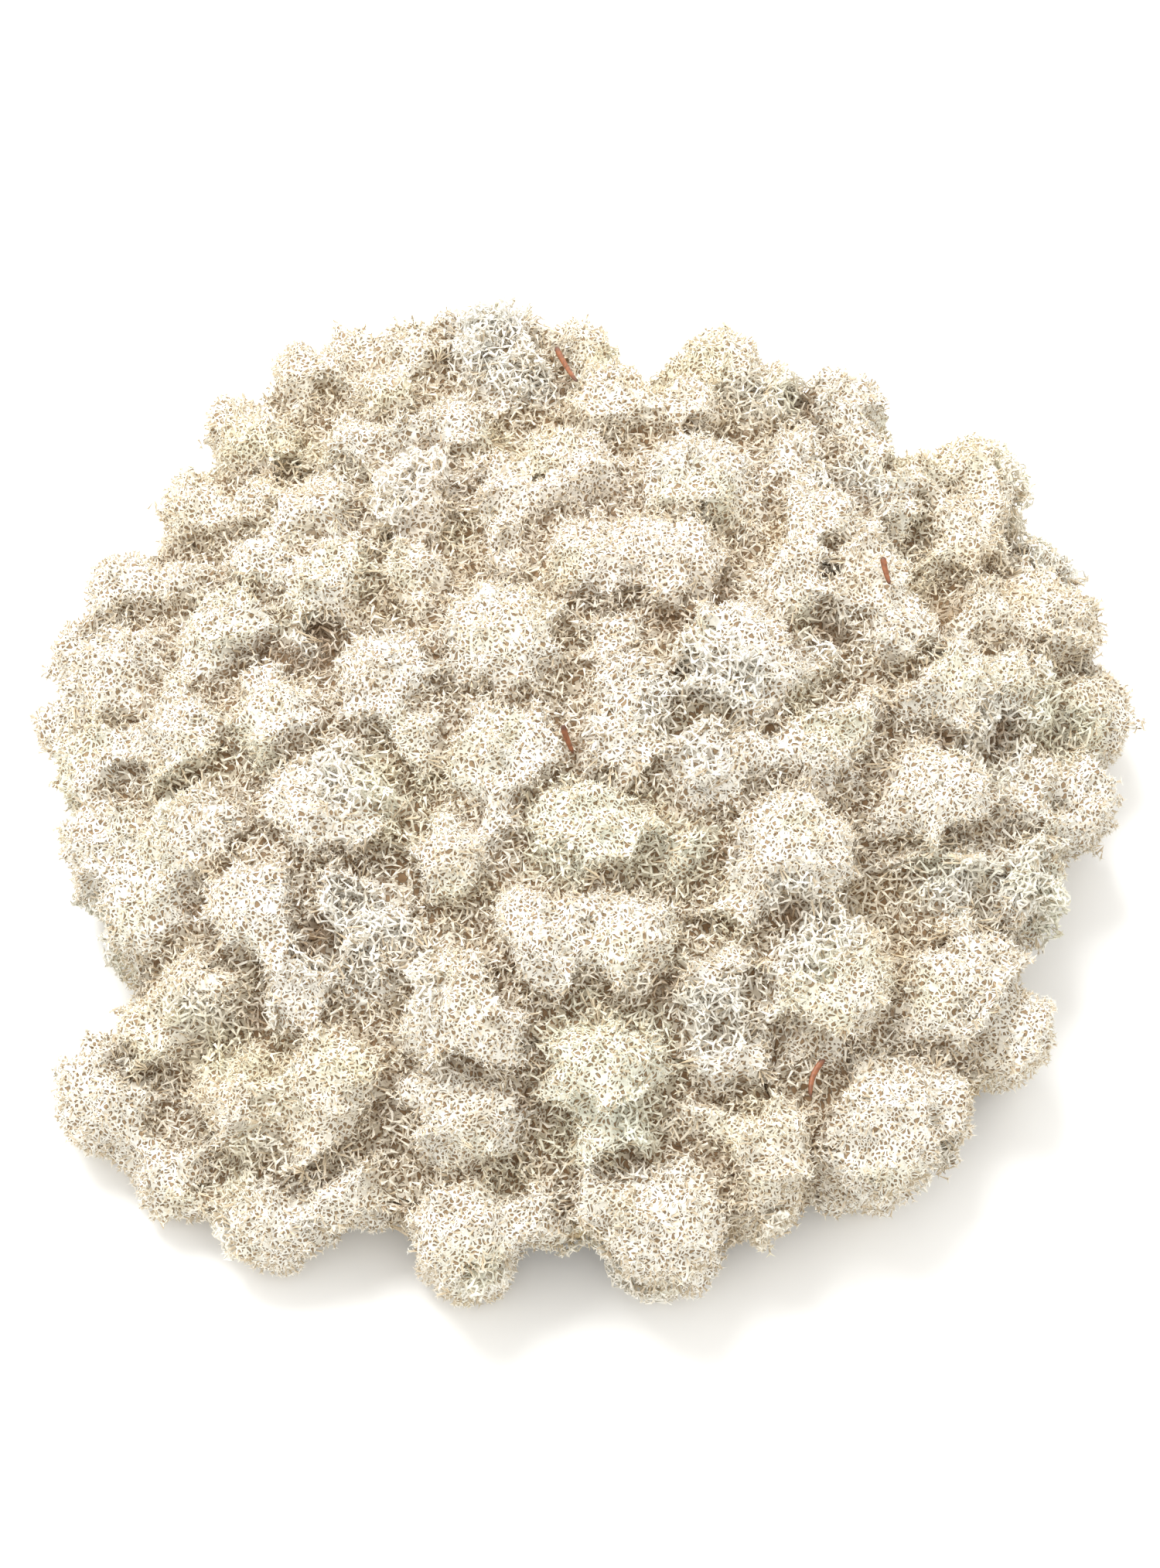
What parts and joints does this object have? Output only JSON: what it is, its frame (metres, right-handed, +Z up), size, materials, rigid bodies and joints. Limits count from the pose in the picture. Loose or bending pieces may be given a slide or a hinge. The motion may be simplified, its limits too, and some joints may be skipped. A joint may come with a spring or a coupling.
{
  "type": "reindeer moss clump",
  "caption": "Low round heap of dry pale reindeer lichen: rounded cushions of fine forked branch tips leaning on one another, with a few stray pine needles.",
  "frame": {"origin": "under the middle of the heap's bounding box, on the surface that it lies on", "axes": "+Z up; +X to the right as seen from the front, along the heap's width; +Y from front to back"},
  "size_m": [0.3088, 0.2916, 0.0921],
  "materials": {
    "lichen_ivory": "dry, matt, fibrous lichen branches",
    "lichen_cream": "dry, matt, fibrous lichen branches",
    "lichen_buff": "dry, matt, fibrous lichen branches",
    "lichen_rose": "dry, matt, fibrous lichen branches",
    "lichen_grey": "dry, matt, fibrous lichen branches",
    "lichen_green": "dry, matt, fibrous lichen branches",
    "needle": "dry brown pine needle, slightly glossy"
  },
  "bodies": {
    "root": {"cushion_01": "lichen_buff", "cushion_02": "lichen_buff", "cushion_03": "lichen_grey", "cushion_04": "lichen_ivory", "cushion_05": "lichen_buff", "cushion_06": "lichen_buff", "cushion_07": "lichen_grey", "cushion_08": "lichen_buff", "cushion_09": "lichen_grey", "cushion_10": "lichen_cream", "cushion_11": "lichen_ivory", "cushion_12": "lichen_rose", "cushion_13": "lichen_rose", "cushion_14": "lichen_buff", "cushion_15": "lichen_ivory", "cushion_16": "lichen_cream", "cushion_17": "lichen_ivory", "cushion_18": "lichen_cream", "cushion_19": "lichen_ivory", "cushion_20": "lichen_rose", "cushion_21": "lichen_cream", "cushion_22": "lichen_cream", "cushion_23": "lichen_cream", "cushion_24": "lichen_buff", "cushion_25": "lichen_grey", "cushion_26": "lichen_grey", "cushion_27": "lichen_ivory", "cushion_28": "lichen_ivory", "cushion_29": "lichen_ivory", "cushion_30": "lichen_grey", "cushion_31": "lichen_cream", "cushion_32": "lichen_ivory", "cushion_33": "lichen_ivory", "cushion_34": "lichen_cream", "cushion_35": "lichen_grey", "cushion_36": "lichen_grey", "cushion_37": "lichen_ivory", "cushion_38": "lichen_ivory", "cushion_39": "lichen_green", "cushion_40": "lichen_cream", "cushion_41": "lichen_grey", "cushion_42": "lichen_cream", "cushion_43": "lichen_buff", "cushion_44": "lichen_cream", "cushion_45": "lichen_cream", "cushion_46": "lichen_cream", "cushion_47": "lichen_cream", "cushion_48": "lichen_cream", "cushion_49": "lichen_buff", "cushion_50": "lichen_cream", "cushion_51": "lichen_green", "cushion_52": "lichen_cream", "cushion_53": "lichen_buff", "cushion_54": "lichen_cream", "cushion_55": "lichen_cream", "cushion_56": "lichen_cream", "needle_1": "needle", "needle_2": "needle", "needle_3": "needle", "needle_4": "needle"}
  },
  "joints": []
}
